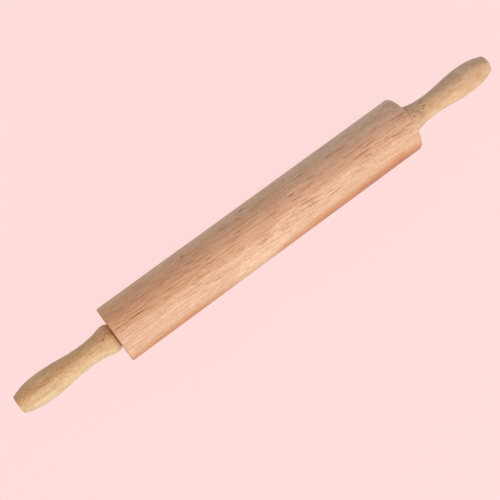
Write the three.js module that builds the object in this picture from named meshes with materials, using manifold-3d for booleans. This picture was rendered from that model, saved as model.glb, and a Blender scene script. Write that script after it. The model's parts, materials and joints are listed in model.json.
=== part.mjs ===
// A rolling pin turned from wood. The barrel spins on a stepped steel axle between two turned handles.
// Each barrel end holds a flanged nylon carrier with a shielded ball bearing. Each handle screws onto the
// axle by a brass insert and clamps the bearing's inner race, through a washer, against the axle's step.
// Units are millimetres. The pin lies along X with its middle at the origin, and Z is up.

import * as THREE from "three";
import { mergeVertices } from "three/addons/utils/BufferGeometryUtils.js";
import Module from "manifold-3d";

// Barrel
const BARREL_DIAMETER = 51;
const BARREL_LENGTH = 300;
const BARREL_EDGE_ROUND = 1.2;

// Handle, with stations counted from its inner face towards its tip
const HANDLE_LENGTH = 91.6;
const HANDLE_FACE_DIAMETER = 21.8;
const HANDLE_SHOULDER_DIAMETER = 25.2;
const HANDLE_SHOULDER_AT = 4.7;
const HANDLE_NECK_DIAMETER = 19.3;
const HANDLE_NECK_AT = 28;
const HANDLE_BULGE_DIAMETER = 24.7;
const HANDLE_BULGE_AT = 65.8;
const HANDLE_TIP_DIAMETER = 16.4;
const HANDLE_TIP_ROUND = 0.9;

// How far each swell or hollow of the handle holds its radius before the curve turns away
const SHOULDER_HOLD = 4.4;
const NECK_HOLD_INWARD = 16.5;
const NECK_HOLD_OUTWARD = 14;
const BULGE_HOLD_INWARD = 13.6;
const BULGE_HOLD_OUTWARD = 13.6;
const TIP_LEAN_LENGTH = 6.9;
const TIP_LEAN_RADIUS = 2.6;

// Axle and what screws onto it
const JOURNAL_DIAMETER = 8;
const AXLE_STEP = 1;
const AXLE_TIP_CHAMFER = 0.8;
const AXLE_PAST_INSERT = 4;
const INSERT_LENGTH = 18;
const INSERT_WALL = 1.5;
const INSERT_BARB = 0.5;
const INSERT_BARBS = 4;
const WASHER_THICKNESS = 1;
const WASHER_WIDTH = 1.4;

// Ball bearing
const BALL_DIAMETER = 2.4;
const BALL_COUNT = 9;
const BEARING_SECTION = 3.9;
const RACE_LAND_OFFSET = 0.96;
const CAGE_THICKNESS = 0.9;
const CAGE_BACK = 0.36;
const CAGE_LIP = 0.6;
const SHIELD_THICKNESS = 0.35;
const SHIELD_SEAT_DEPTH = 0.4;

// Nylon carrier
const CARRIER_WALL = 1.5;
const CARRIER_FLOOR = 2;
const FLANGE_WIDTH = 1.2;
const FLANGE_THICKNESS = 0.9;
const FLANGE_PROUD = 0.65; // how far the flange's face stands out of the barrel's end
const BEARING_RECESS = 0.3;

// Clearances
const SEAT_GAP = 0.15; // between pieces that are pressed, screwed or clamped together
const BALL_GAP = 0.12; // round a ball, in its race groove and in its cage pocket
const SHIELD_GAP = 0.3; // between a shield and what turns past it
const FLANGE_GAP = 0.15; // between the carrier's flange and the handle that it turns past
const AXLE_GAP = 1; // between the axle and the barrel's bore
const HOLE_END_GAP = 2; // past the axle's tip, inside the handle

// Facets round each turned piece
const BARREL_FACETS = 56;
const HANDLE_FACETS = 36;
const BEARING_FACETS = 28;
const POCKET_FACETS = 12;
const BALL_DETAIL = 1;

// Straight steps along each curve of a profile
const SWEEP_STEPS = 6;
const BARREL_EDGE_STEPS = 2;
const SHOULDER_STEPS = 4;
const TIP_STEPS = 2;
const GROOVE_STEPS = 4;

// Radii that follow from the sizes above
const journalRadius = JOURNAL_DIAMETER / 2;
const axleRadius = journalRadius + AXLE_STEP;
const barrelBoreRadius = axleRadius + AXLE_GAP;
const raceBoreRadius = journalRadius + SEAT_GAP;
const bearingRadius = raceBoreRadius + BEARING_SECTION;
const pitchRadius = (raceBoreRadius + bearingRadius) / 2;
const ballRadius = BALL_DIAMETER / 2;
const pocketRadius = ballRadius + BALL_GAP;
const innerLandRadius = pitchRadius - RACE_LAND_OFFSET;
const outerLandRadius = pitchRadius + RACE_LAND_OFFSET;
const shieldSeatRadius = outerLandRadius + SHIELD_SEAT_DEPTH;
const carrierBoreRadius = bearingRadius + SEAT_GAP;
const carrierRadius = carrierBoreRadius + CARRIER_WALL;
const flangeRadius = carrierRadius + FLANGE_WIDTH;
const insertBoreRadius = journalRadius + SEAT_GAP;
const insertBodyRadius = insertBoreRadius + INSERT_WALL;
const insertRadius = insertBodyRadius + INSERT_BARB;
const insertPocketRadius = insertRadius + SEAT_GAP;

// Half of the bearing's width, built up from the ball to the bearing's side face
const cageBackDepth = pocketRadius + CAGE_BACK;
const shieldInnerDepth = cageBackDepth + SHIELD_GAP;
const shieldOuterDepth = shieldInnerDepth + SHIELD_THICKNESS;
const bearingHalfWidth = shieldOuterDepth + SEAT_GAP;

// Places along the axis, counted outwards from the barrel's end face
const flangeFace = FLANGE_PROUD;
const flangeBack = flangeFace - FLANGE_THICKNESS;
const handleFace = flangeFace + FLANGE_GAP;
const bearingFace = flangeFace - BEARING_RECESS;
const bearingMiddle = bearingFace - bearingHalfWidth;
const bearingBack = bearingFace - 2 * bearingHalfWidth;
const carrierFloorTop = bearingBack - SEAT_GAP;
const carrierBottom = carrierFloorTop - CARRIER_FLOOR;
const axleStepAt = bearingBack - SEAT_GAP;
const washerStart = bearingFace + SEAT_GAP;
const insertStart = washerStart + WASHER_THICKNESS + SEAT_GAP;
const insertEnd = insertStart + INSERT_LENGTH;
const axleEnd = insertEnd + AXLE_PAST_INSERT;

// Materials
const wood = (color) => new THREE.MeshStandardMaterial({ color, roughness: 0.6, metalness: 0 });
const metal = (color, roughness) => new THREE.MeshStandardMaterial({ color, roughness, metalness: 1 });
const barrelWood = wood(0xd9a881);
const handleWood = wood(0xd8b283);
const axleSteel = metal(0xb4b7ba, 0.35);
const bearingSteel = metal(0xc9cccf, 0.18);
const insertBrass = metal(0xc8a24f, 0.35);
const carrierNylon = new THREE.MeshStandardMaterial({ color: 0x7a5535, roughness: 0.5, metalness: 0 });
const cageNylon = new THREE.MeshStandardMaterial({ color: 0xe2d5bb, roughness: 0.55, metalness: 0 });

const wasm = await Module();
wasm.setup();

const WELD_DISTANCE = 1e-4;

// A closed geometry as a solid that can be cut.
function solidOf(geometry) {
  const bare = geometry.clone();
  bare.deleteAttribute("normal");
  bare.deleteAttribute("uv");
  const welded = mergeVertices(bare, WELD_DISTANCE);
  const vertProperties = new Float32Array(welded.attributes.position.array);
  const triVerts = new Uint32Array(welded.index.array);
  return new wasm.Manifold(new wasm.Mesh({ numProp: 3, vertProperties, triVerts }));
}

// A cut solid as a geometry again.
function geometryOf(solid) {
  const { vertProperties, triVerts } = solid.getMesh();
  const geometry = new THREE.BufferGeometry();
  geometry.setAttribute("position", new THREE.BufferAttribute(vertProperties, 3));
  geometry.setIndex(new THREE.BufferAttribute(triVerts, 1));
  geometry.computeVertexNormals();
  return geometry;
}

// A profile in radius and height turned about Y, with a flat facet facing straight down.
function turned(points, facets) {
  return new THREE.LatheGeometry(points, facets, Math.PI / facets);
}

// A closed ring, from a profile that runs up its outside and down its inside.
function turnedRing(points, facets) {
  return turned([...points, points[0]], facets);
}

const at = (radius, height) => new THREE.Vector2(radius, height);

// A plain ring of rectangular section.
function flatRing(inner, outer, low, high) {
  return turnedRing([at(inner, low), at(outer, low), at(outer, high), at(inner, high)], BEARING_FACETS);
}

// Points on part of an ellipse in the profile plane, with angles counted from the outward direction.
function ellipseArc(centre, across, along, startDegrees, endDegrees, steps) {
  return Array.from({ length: steps + 1 }, (_, i) => {
    const angle = THREE.MathUtils.degToRad(startDegrees + ((endDegrees - startDegrees) * i) / steps);
    return at(centre.x + across * Math.cos(angle), centre.y + along * Math.sin(angle));
  });
}

function circleArc(centre, radius, startDegrees, endDegrees, steps) {
  return ellipseArc(centre, radius, radius, startDegrees, endDegrees, steps);
}

// Points on a smooth sweep between two stations, without its first point.
function sweep(start, startPull, endPull, end) {
  return new THREE.CubicBezierCurve(start, startPull, endPull, end).getPoints(SWEEP_STEPS).slice(1);
}

function barrelGeometry() {
  const radius = BARREL_DIAMETER / 2;
  const half = BARREL_LENGTH / 2;
  const seatRadius = carrierRadius + SEAT_GAP;
  const seatFloor = half + carrierBottom - SEAT_GAP;
  const rebateRadius = flangeRadius + SEAT_GAP;
  const rebateFloor = half + flangeBack - SEAT_GAP;
  const edgeRadius = radius - BARREL_EDGE_ROUND;
  const edgeHeight = half - BARREL_EDGE_ROUND;
  const profile = [
    at(rebateRadius, -half),
    ...circleArc(at(edgeRadius, -edgeHeight), BARREL_EDGE_ROUND, -90, 0, BARREL_EDGE_STEPS),
    ...circleArc(at(edgeRadius, edgeHeight), BARREL_EDGE_ROUND, 0, 90, BARREL_EDGE_STEPS),
    at(rebateRadius, half),
    at(rebateRadius, rebateFloor),
    at(seatRadius, rebateFloor),
    at(seatRadius, seatFloor),
    at(barrelBoreRadius, seatFloor),
    at(barrelBoreRadius, -seatFloor),
    at(seatRadius, -seatFloor),
    at(seatRadius, -rebateFloor),
    at(rebateRadius, -rebateFloor),
  ];
  return turnedRing(profile, BARREL_FACETS);
}

function axleGeometry() {
  const stepAt = BARREL_LENGTH / 2 + axleStepAt;
  const end = BARREL_LENGTH / 2 + axleEnd;
  const half = [
    at(axleRadius, stepAt),
    at(journalRadius, stepAt),
    at(journalRadius, end - AXLE_TIP_CHAMFER),
    at(journalRadius - AXLE_TIP_CHAMFER, end),
    at(0, end),
  ];
  const otherHalf = half.map(({ x, y }) => at(x, -y)).reverse();
  return turned([...otherHalf, ...half], BEARING_FACETS);
}

// The handle's turned outline from its inner face to its tip, in radius and distance from that face.
function handleOutline() {
  const faceRadius = HANDLE_FACE_DIAMETER / 2;
  const shoulder = at(HANDLE_SHOULDER_DIAMETER / 2, HANDLE_SHOULDER_AT);
  const neck = at(HANDLE_NECK_DIAMETER / 2, HANDLE_NECK_AT);
  const bulge = at(HANDLE_BULGE_DIAMETER / 2, HANDLE_BULGE_AT);
  const tip = at(HANDLE_TIP_DIAMETER / 2, HANDLE_LENGTH - HANDLE_TIP_ROUND);
  const faceMiddle = at(faceRadius, shoulder.y);
  const tipMiddle = at(tip.x - HANDLE_TIP_ROUND, tip.y);
  const held = (station, distance) => at(station.x, station.y + distance);
  const tipLean = at(tip.x + TIP_LEAN_RADIUS, tip.y - TIP_LEAN_LENGTH);
  return [
    ...ellipseArc(faceMiddle, shoulder.x - faceRadius, shoulder.y, -90, 0, SHOULDER_STEPS),
    ...sweep(shoulder, held(shoulder, SHOULDER_HOLD), held(neck, -NECK_HOLD_INWARD), neck),
    ...sweep(neck, held(neck, NECK_HOLD_OUTWARD), held(bulge, -BULGE_HOLD_INWARD), bulge),
    ...sweep(bulge, held(bulge, BULGE_HOLD_OUTWARD), tipLean, tip),
    ...circleArc(tipMiddle, HANDLE_TIP_ROUND, 0, 90, TIP_STEPS).slice(1),
  ];
}

function handleGeometry() {
  const holeEnd = axleEnd + HOLE_END_GAP;
  const holeRadius = journalRadius + SEAT_GAP;
  const pocketEnd = insertEnd + SEAT_GAP;
  const outline = handleOutline().map(({ x, y }) => at(x, y + handleFace));
  const profile = [
    at(0, holeEnd),
    at(holeRadius, holeEnd),
    at(holeRadius, pocketEnd),
    at(insertPocketRadius, pocketEnd),
    at(insertPocketRadius, handleFace),
    ...outline,
    at(0, handleFace + HANDLE_LENGTH),
  ];
  return turned(profile, HANDLE_FACETS);
}

// A sleeve for the axle's thread, with barbs that rake back towards the handle's inner face.
function insertGeometry() {
  const pitch = INSERT_LENGTH / INSERT_BARBS;
  const barbs = Array.from({ length: INSERT_BARBS }, (_, i) => [
    at(insertRadius, insertStart + pitch * i),
    at(insertBodyRadius, insertStart + pitch * (i + 1)),
  ]).flat();
  const bore = [at(insertBoreRadius, insertEnd), at(insertBoreRadius, insertStart)];
  return turnedRing([...barbs, ...bore], BEARING_FACETS);
}

function washerGeometry() {
  const inner = journalRadius + SEAT_GAP;
  return flatRing(inner, inner + WASHER_WIDTH, washerStart, washerStart + WASHER_THICKNESS);
}

// A cup that is pressed into the barrel's end and holds the bearing's outer race. Its flange lies in a rebate
// and stands a little out of the barrel's end.
function carrierGeometry() {
  const profile = [
    at(outerLandRadius, carrierBottom),
    at(carrierRadius, carrierBottom),
    at(carrierRadius, flangeBack),
    at(flangeRadius, flangeBack),
    at(flangeRadius, flangeFace),
    at(carrierBoreRadius, flangeFace),
    at(carrierBoreRadius, carrierFloorTop),
    at(outerLandRadius, carrierFloorTop),
  ];
  return turnedRing(profile, BEARING_FACETS);
}

// The grooves that the balls run in, and half of the angle that each takes round a ball's middle
const ballMiddle = at(pitchRadius, 0);
const grooveRadius = ballRadius + BALL_GAP;
const grooveDegrees = THREE.MathUtils.radToDeg(Math.acos(RACE_LAND_OFFSET / grooveRadius));

function innerRaceGeometry() {
  const profile = [
    at(raceBoreRadius, -bearingHalfWidth),
    at(innerLandRadius, -bearingHalfWidth),
    ...circleArc(ballMiddle, grooveRadius, 180 + grooveDegrees, 180 - grooveDegrees, GROOVE_STEPS),
    at(innerLandRadius, bearingHalfWidth),
    at(raceBoreRadius, bearingHalfWidth),
  ];
  return turnedRing(profile, BEARING_FACETS);
}

function outerRaceGeometry() {
  const seatDepth = shieldInnerDepth - SEAT_GAP;
  const profile = [
    at(bearingRadius, -bearingHalfWidth),
    at(bearingRadius, bearingHalfWidth),
    at(shieldSeatRadius, bearingHalfWidth),
    at(shieldSeatRadius, seatDepth),
    at(outerLandRadius, seatDepth),
    ...circleArc(ballMiddle, grooveRadius, grooveDegrees, -grooveDegrees, GROOVE_STEPS),
    at(outerLandRadius, -seatDepth),
    at(shieldSeatRadius, -seatDepth),
    at(shieldSeatRadius, -bearingHalfWidth),
  ];
  return turnedRing(profile, BEARING_FACETS);
}

function shieldGeometry(side) {
  const inner = innerLandRadius + SHIELD_GAP;
  const outer = shieldSeatRadius - SEAT_GAP;
  const [low, high] = [side * shieldInnerDepth, side * shieldOuterDepth].sort((a, b) => a - b);
  return flatRing(inner, outer, low, high);
}

const ballAngle = (index) => (2 * Math.PI * index) / BALL_COUNT;

// A crown cage: a ring whose pockets open to one side and grip each ball past its middle.
function cageGeometry() {
  const inner = pitchRadius - CAGE_THICKNESS / 2;
  const outer = pitchRadius + CAGE_THICKNESS / 2;
  const cutLength = 2 * CAGE_THICKNESS;
  let cage = solidOf(flatRing(inner, outer, -cageBackDepth, CAGE_LIP));
  for (let i = 0; i < BALL_COUNT; i += 1) {
    const pocket = new THREE.CylinderGeometry(pocketRadius, pocketRadius, cutLength, POCKET_FACETS);
    pocket.rotateX(Math.PI / 2);
    pocket.translate(0, 0, pitchRadius);
    pocket.rotateY(ballAngle(i));
    cage = cage.subtract(solidOf(pocket));
  }
  return geometryOf(cage);
}

function named(name, geometry, material) {
  const mesh = new THREE.Mesh(geometry, material);
  mesh.name = name;
  return mesh;
}

// A shielded ball bearing about its own middle.
function bearing(side) {
  const group = new THREE.Group();
  group.add(named(`${side}_inner_race`, innerRaceGeometry(), bearingSteel));
  group.add(named(`${side}_outer_race`, outerRaceGeometry(), bearingSteel));
  group.add(named(`${side}_outer_shield`, shieldGeometry(1), bearingSteel));
  group.add(named(`${side}_inner_shield`, shieldGeometry(-1), bearingSteel));
  group.add(named(`${side}_ball_cage`, cageGeometry(), cageNylon));
  for (let i = 0; i < BALL_COUNT; i += 1) {
    const geometry = new THREE.IcosahedronGeometry(ballRadius, BALL_DETAIL);
    const ball = named(`${side}_ball_${i + 1}`, geometry, bearingSteel);
    ball.position.set(pitchRadius * Math.sin(ballAngle(i)), 0, pitchRadius * Math.cos(ballAngle(i)));
    group.add(ball);
  }
  return group;
}

// One end of the pin, with the barrel's end face at its origin and the handle towards +Y.
function endAssembly(side) {
  const group = new THREE.Group();
  group.add(named(`${side}_handle`, handleGeometry(), handleWood));
  group.add(named(`${side}_handle_insert`, insertGeometry(), insertBrass));
  group.add(named(`${side}_thrust_washer`, washerGeometry(), axleSteel));
  group.add(named(`${side}_bearing_carrier`, carrierGeometry(), carrierNylon));
  const ballBearing = bearing(side);
  ballBearing.position.y = bearingMiddle;
  group.add(ballBearing);
  return group;
}

function rollingPin() {
  const lathe = new THREE.Group();
  lathe.add(named("barrel", barrelGeometry(), barrelWood));
  lathe.add(named("axle_rod", axleGeometry(), axleSteel));

  const right = endAssembly("right");
  right.position.y = BARREL_LENGTH / 2;
  const left = endAssembly("left");
  left.position.y = -BARREL_LENGTH / 2;
  left.rotation.x = Math.PI;
  lathe.add(right, left);

  lathe.rotation.z = -Math.PI / 2;
  const pin = new THREE.Group();
  pin.name = "rolling_pin";
  pin.add(lathe);
  return pin;
}

export default rollingPin();
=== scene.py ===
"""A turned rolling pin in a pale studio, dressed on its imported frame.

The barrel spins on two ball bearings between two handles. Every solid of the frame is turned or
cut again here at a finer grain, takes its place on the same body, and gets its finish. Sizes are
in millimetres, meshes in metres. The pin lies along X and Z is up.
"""

import json
import logging
import math
from collections.abc import Callable, Sequence
from dataclasses import dataclass, field
from enum import Enum

import bmesh
import bpy
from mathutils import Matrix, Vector, noise

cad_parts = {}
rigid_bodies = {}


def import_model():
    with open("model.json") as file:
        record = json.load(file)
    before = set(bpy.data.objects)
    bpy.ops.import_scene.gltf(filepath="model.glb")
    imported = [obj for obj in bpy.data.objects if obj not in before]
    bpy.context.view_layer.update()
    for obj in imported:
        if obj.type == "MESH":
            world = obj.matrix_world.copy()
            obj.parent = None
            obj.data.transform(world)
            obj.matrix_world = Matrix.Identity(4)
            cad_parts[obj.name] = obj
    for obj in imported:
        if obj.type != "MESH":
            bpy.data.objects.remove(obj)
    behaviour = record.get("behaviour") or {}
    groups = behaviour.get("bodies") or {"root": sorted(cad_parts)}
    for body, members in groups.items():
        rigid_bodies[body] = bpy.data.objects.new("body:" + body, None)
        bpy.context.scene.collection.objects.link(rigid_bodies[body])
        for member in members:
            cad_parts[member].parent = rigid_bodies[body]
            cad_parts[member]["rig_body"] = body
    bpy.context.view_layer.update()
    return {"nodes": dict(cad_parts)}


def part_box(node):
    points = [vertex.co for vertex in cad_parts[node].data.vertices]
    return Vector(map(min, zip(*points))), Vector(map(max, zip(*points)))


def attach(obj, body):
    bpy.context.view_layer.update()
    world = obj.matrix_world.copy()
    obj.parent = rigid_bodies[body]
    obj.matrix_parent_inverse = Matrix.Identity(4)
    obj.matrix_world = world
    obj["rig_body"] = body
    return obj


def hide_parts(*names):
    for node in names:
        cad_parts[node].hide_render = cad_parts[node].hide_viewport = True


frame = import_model()

MM = 0.001  # in metres
HAIR = 0.01  # the finest size that matters, in mm
PHOTO_PIXELS = 500
SENSOR_WIDTH = 36.0

log = logging.getLogger("rolling_pin")

Point = tuple[float, float]
Triple = tuple[float, float, float]
Colour = Triple
Stops = Sequence[tuple[float, Colour]]
Relief = Callable[[float, float, float], float]
Ring = list[bmesh.types.BMVert]


class Side(Enum):
    """The two ends of the pin."""

    LEFT = "left"
    RIGHT = "right"

    @property
    def sign(self) -> int:
        """The direction of this end along X."""
        return 1 if self is Side.RIGHT else -1

    def node(self, name: str) -> str:
        """The frame's name for a piece at this end."""
        return f"{self.value}_{name}"

    def span(self, name: str) -> Point:
        """The inner and outer end of a node at this end, in mm from the pin's middle."""
        low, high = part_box(self.node(name))
        return tuple(sorted((abs(low.x) / MM, abs(high.x) / MM)))


class Slot(Enum):
    """The record's material slots."""

    BARREL_WOOD = "barrel_wood"
    HANDLE_WOOD = "handle_wood"
    AXLE_STEEL = "axle_steel"
    BEARING_STEEL = "bearing_steel"
    INSERT_BRASS = "insert_brass"
    CARRIER_NYLON = "carrier_nylon"
    CAGE_NYLON = "cage_nylon"


@dataclass(frozen=True)
class Socket:
    """A node's output, with operators that add Math nodes."""

    graph: "Graph"
    port: bpy.types.NodeSocket

    def __add__(self, other: "Value") -> "Socket":
        """This value plus another."""
        return self.graph.math("ADD", self, other)

    def __radd__(self, other: float) -> "Socket":
        """A number plus this value."""
        return self.graph.math("ADD", other, self)

    def __sub__(self, other: "Value") -> "Socket":
        """This value less another."""
        return self.graph.math("SUBTRACT", self, other)

    def __rsub__(self, other: float) -> "Socket":
        """A number less this value."""
        return self.graph.math("SUBTRACT", other, self)

    def __mul__(self, other: "Value") -> "Socket":
        """This value times another."""
        return self.graph.math("MULTIPLY", self, other)

    def __rmul__(self, other: float) -> "Socket":
        """A number times this value."""
        return self.graph.math("MULTIPLY", other, self)

    def __truediv__(self, other: "Value") -> "Socket":
        """This value over another."""
        return self.graph.math("DIVIDE", self, other)

    def __rtruediv__(self, other: float) -> "Socket":
        """A number over this value."""
        return self.graph.math("DIVIDE", other, self)

    def __neg__(self) -> "Socket":
        """This value with its sign turned."""
        return self * -1.0

    def __abs__(self) -> "Socket":
        """This value without its sign."""
        return self.graph.math("ABSOLUTE", self)

    def ease(self, low: float, high: float) -> "Socket":
        """A soft step.

        Args:
            low: The value at which the step is 0.
            high: The value at which it is 1. It may lie below low.

        Returns:
            The step, from 0 to 1.
        """
        if low > high:
            return 1.0 - self.ease(high, low)
        smooth = {"interpolation_type": "SMOOTHSTEP"}
        return self.graph.node("ShaderNodeMapRange", smooth, {0: self, 1: low, 2: high})[0]


Value = Socket | float


@dataclass(frozen=True)
class Made:
    """A node that was added to a graph, read by its outputs."""

    graph: "Graph"
    node: bpy.types.Node

    def __getitem__(self, name: str | int) -> Socket:
        """One output, by its name or place."""
        return Socket(self.graph, self.node.outputs[name])


class Graph:
    """The nodes of one material or of the world."""

    def __init__(self, tree: bpy.types.NodeTree) -> None:
        """Starts from an empty tree."""
        self.tree = tree
        tree.nodes.clear()

    def node(self, kind: str, settings: dict | None = None, inputs: dict | None = None) -> Made:
        """Adds a node.

        Args:
            kind: The node's type.
            settings: Its properties, set before its sockets. "stops" are a colour ramp's stops.
            inputs: Values or links by the socket's name or place.

        Returns:
            The node.
        """
        made = self.tree.nodes.new(kind)
        for name, value in (settings or {}).items():
            if name == "stops":
                self._set_stops(made.color_ramp, value)
            else:
                setattr(made, name, value)
        for name, value in (inputs or {}).items():
            if isinstance(value, Socket):
                self.tree.links.new(value.port, made.inputs[name])
            else:
                made.inputs[name].default_value = value
        return Made(self, made)

    @staticmethod
    def _set_stops(ramp: bpy.types.ColorRamp, stops: Stops) -> None:
        """Puts stops of place and colour on a ramp.

        Args:
            ramp: The ramp.
            stops: Two or more stops in order.
        """
        while len(ramp.elements) < len(stops):
            ramp.elements.new(1.0)
        for element, (place, colour) in zip(ramp.elements, stops):
            element.position = place
            element.color = (*colour, 1.0)

    def math(self, operation: str, *values: Value) -> Socket:
        """The result of a Math node on some values."""
        return self.node("ShaderNodeMath", {"operation": operation}, dict(enumerate(values)))[0]

    def vector(self, operation: str, *values: Value | Triple) -> Made:
        """A Vector Math node on some vectors, colours or values."""
        inputs = dict(enumerate(values))
        return self.node("ShaderNodeVectorMath", {"operation": operation}, inputs)

    def place(self) -> Socket:
        """The place on the piece, in mm."""
        inputs = {0: self.node("ShaderNodeTexCoord")["Object"], "Scale": 1.0 / MM}
        return self.node("ShaderNodeVectorMath", {"operation": "SCALE"}, inputs)[0]

    def split(self, vector: Socket) -> tuple[Socket, Socket, Socket]:
        """The three parts of a vector."""
        made = self.node("ShaderNodeSeparateXYZ", inputs={0: vector})
        return made[0], made[1], made[2]

    def join(self, x: Value, y: Value, z: Value) -> Socket:
        """A vector of three values."""
        return self.node("ShaderNodeCombineXYZ", inputs={0: x, 1: y, 2: z})[0]

    def length(self, vector: Socket) -> Socket:
        """The length of a vector."""
        return self.vector("LENGTH", vector)["Value"]

    def ramp(self, stops: Stops, place: Socket) -> Socket:
        """The colour of a ramp at a place from 0 to 1."""
        return self.node("ShaderNodeValToRGB", {"stops": stops}, {0: place})[0]

    def toned(self, colour: Socket, value: Socket, weights: Colour) -> Socket:
        """A colour made lighter by a value, which red, green and blue follow by their weights."""
        lift = self.vector("MULTIPLY_ADD", value, weights, (1.0, 1.0, 1.0))[0]
        return self.vector("MULTIPLY", colour, lift)[0]

    def mix(self, share: Value, first: Socket | Colour, second: Socket | Colour) -> Socket:
        """Two colours mixed, by the share of the second."""
        a, b = (c if isinstance(c, Socket) else (*c, 1.0) for c in (first, second))
        return self.node("ShaderNodeMix", {"data_type": "RGBA"}, {0: share, 6: a, 7: b})[2]

    def surface(self, inputs: dict, height: Socket, depth: float) -> None:
        """Ends the graph in a surface shader with a fine relief.

        Args:
            inputs: The surface shader's sockets.
            height: The relief, from 0 to 1.
            depth: What a height of 1 stands for, in mm.
        """
        relief = {"Height": height, "Distance": depth * MM, "Strength": 1.0}
        bump = self.node("ShaderNodeBump", inputs=relief)[0]
        shader = self.node("ShaderNodeBsdfPrincipled", inputs={**inputs, "Normal": bump})[0]
        self.node("ShaderNodeOutputMaterial", inputs={"Surface": shader})


@dataclass(frozen=True)
class Swell:
    """Soft noise, drawn out along the pin. Its swells are so long and wide, in mm."""

    length: float
    width: float
    detail: float = 2.0  # how many finer layers it has
    rough: float = 0.5  # how strong these are

    def cloud(self, graph: Graph, place: Socket) -> Socket:
        """The noise at a place.

        Args:
            graph: The material's graph.
            place: The place, in mm.

        Returns:
            A value from about -0.5 to 0.5.
        """
        cell = graph.vector("DIVIDE", place, (self.length, self.width, self.width))[0]
        inputs = {"Vector": cell, "Scale": 1.0, "Detail": self.detail, "Roughness": self.rough}
        return graph.node("ShaderNodeTexNoise", inputs=inputs)["Fac"] - 0.5


@dataclass(frozen=True)
class Flecks:
    """Scattered drawn-out flecks on an unrolled surface."""

    cell: Point  # the length and width of the cell that each fleck lies in, in mm
    size: Point  # a fleck's full and fading radius, in cells
    share: float  # how many of the cells hold one, from 0 to 1
    strong: float = 0.4  # how many of these show in full

    def mask(self, graph: Graph, along: Socket, around: Socket) -> Socket:
        """Where the flecks show.

        Args:
            graph: The material's graph.
            along: The place along the pin, in mm.
            around: The place around it, in mm.

        Returns:
            A mask of the flecks, each of its own strength.
        """
        cell = graph.vector("DIVIDE", graph.join(along, around, 0.0), (*self.cell, 1.0))[0]
        inputs = {"Vector": cell, "Scale": 1.0}
        made = graph.node("ShaderNodeTexVoronoi", {"voronoi_dimensions": "2D"}, inputs)
        chance = graph.split(made["Color"])[0]
        held = chance.ease(1.0 - self.share, 1.0 - self.share * self.strong)
        return made["Distance"].ease(self.size[1], self.size[0]) * held


@dataclass(frozen=True)
class Mark:
    """A single mark that stands out in the grain, in mm and degrees."""

    along: float  # where its middle lies along the axis
    around: float  # its angle round the axis, from +Y
    radius: float  # its distance from the axis
    length: float
    width: float
    depth: float  # how dark it is, or less than 0 for a pale mark, such as a painted highlight
    tilt: float = -2.0  # how far it turns from the axis

    REACH_INWARDS = 2.0
    FULL_SHARE = 0.7

    def mask(self, graph: Graph, place: Socket) -> Socket:
        """Where the mark shows.

        Args:
            graph: The material's graph.
            place: The place, in mm.

        Returns:
            Its darkness, from 0 to its depth.
        """
        angle = math.radians(self.around)
        y, z = self.radius * math.cos(angle), self.radius * math.sin(angle)
        inputs = {
            "Vector": place,
            "Location": (self.along, y, z),
            "Rotation": (angle - math.pi / 2.0, 0.0, math.radians(self.tilt)),
            "Scale": (self.length / 2.0, self.width / 2.0, self.REACH_INWARDS),
        }
        local = graph.node("ShaderNodeMapping", {"vector_type": "TEXTURE"}, inputs)[0]
        return graph.length(local).ease(1.0, self.FULL_SHARE) * self.depth


@dataclass(frozen=True)
class Finish:
    """What a piece is made of."""

    name: str

    def paint(self, graph: Graph) -> None:
        """Adds the finish's nodes to an empty graph."""
        raise NotImplementedError

    def material(self) -> bpy.types.Material:
        """The finish as a material, which is made once.

        Returns:
            The material.
        """
        made = bpy.data.materials.get(self.name)
        if made is None:
            made = bpy.data.materials.new(self.name)
            made.use_nodes = True
            self.paint(Graph(made.node_tree))
        return made


class Layer(Enum):
    """The layers of a wood's figure."""

    BANDS = Swell(130.0, 6.5)
    MOTTLE = Swell(16.0, 4.0)
    FIBRES = Swell(26.0, 0.65, rough=0.65)
    SPECKS = Swell(1.8, 0.8, detail=1.0)
    STREAKS = Swell(90.0, 1.6, detail=1.0)


Figure = dict[Layer, Socket]
Shares = dict[Layer, float]


def weighed(figure: Figure, shares: Shares) -> Socket:
    """The sum of some layers of a figure, each times its share."""
    first, *others = (figure[layer] * share for layer, share in shares.items())
    return sum(others, start=first)


@dataclass(frozen=True)
class Rim:
    """A strip along the barrel's lit lower edge, orange heartwood with painted shade, deeper where
    it is wide.
    """

    colour: Colour
    heart_and_shade: Colour  # the deeper colour: darker heartwood and painted shade towards the strip's edge
    starts: tuple[Point, ...]  # where it begins across the layers, at shares of the length
    core: float = 0.945  # where its unbroken core of painted shade begins towards the underside

    UNDERSIDE = (-0.829, -0.559)
    BORDER = (-0.1, 0.14)
    CORE_BORDER = (-0.045, 0.045)
    HEART_AND_SHADE_BORDER = (0.1, 0.22)
    FRAY = {Layer.BANDS: 0.12, Layer.MOTTLE: 0.08, Layer.STREAKS: 0.22, Layer.FIBRES: 0.1}

    def tint(
        self, graph: Graph, colour: Socket, along: Socket, across: Socket, under: Socket
    ) -> Socket:
        """Lays the strip, heartwood with painted shade, over the wood's colour.

        Args:
            graph: The material's graph.
            colour: The wood's colour.
            along: The place along the barrel, from 0 to 1.
            across: The place across the layers, from -1 to 1, frayed.
            under: The place towards the underside, from -1 to 1, frayed.

        Returns:
            The colour with the strip.
        """
        stops = [(station, (start / 2.0,) * 3) for station, start in self.starts]
        inside = across - 2.0 * graph.split(graph.ramp(stops, along))[0]
        # Painted shade: the strip's core never breaks where the barrel turns towards the floor.
        core = (under - self.core).ease(*self.CORE_BORDER)
        strip = graph.math("MAXIMUM", inside.ease(*self.BORDER), core)
        colour = graph.mix(strip, colour, self.colour)
        # Painted shade: the deeper colour where the strip is widest, towards its edge.
        return graph.mix(inside.ease(*self.HEART_AND_SHADE_BORDER), colour, self.heart_and_shade)


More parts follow.
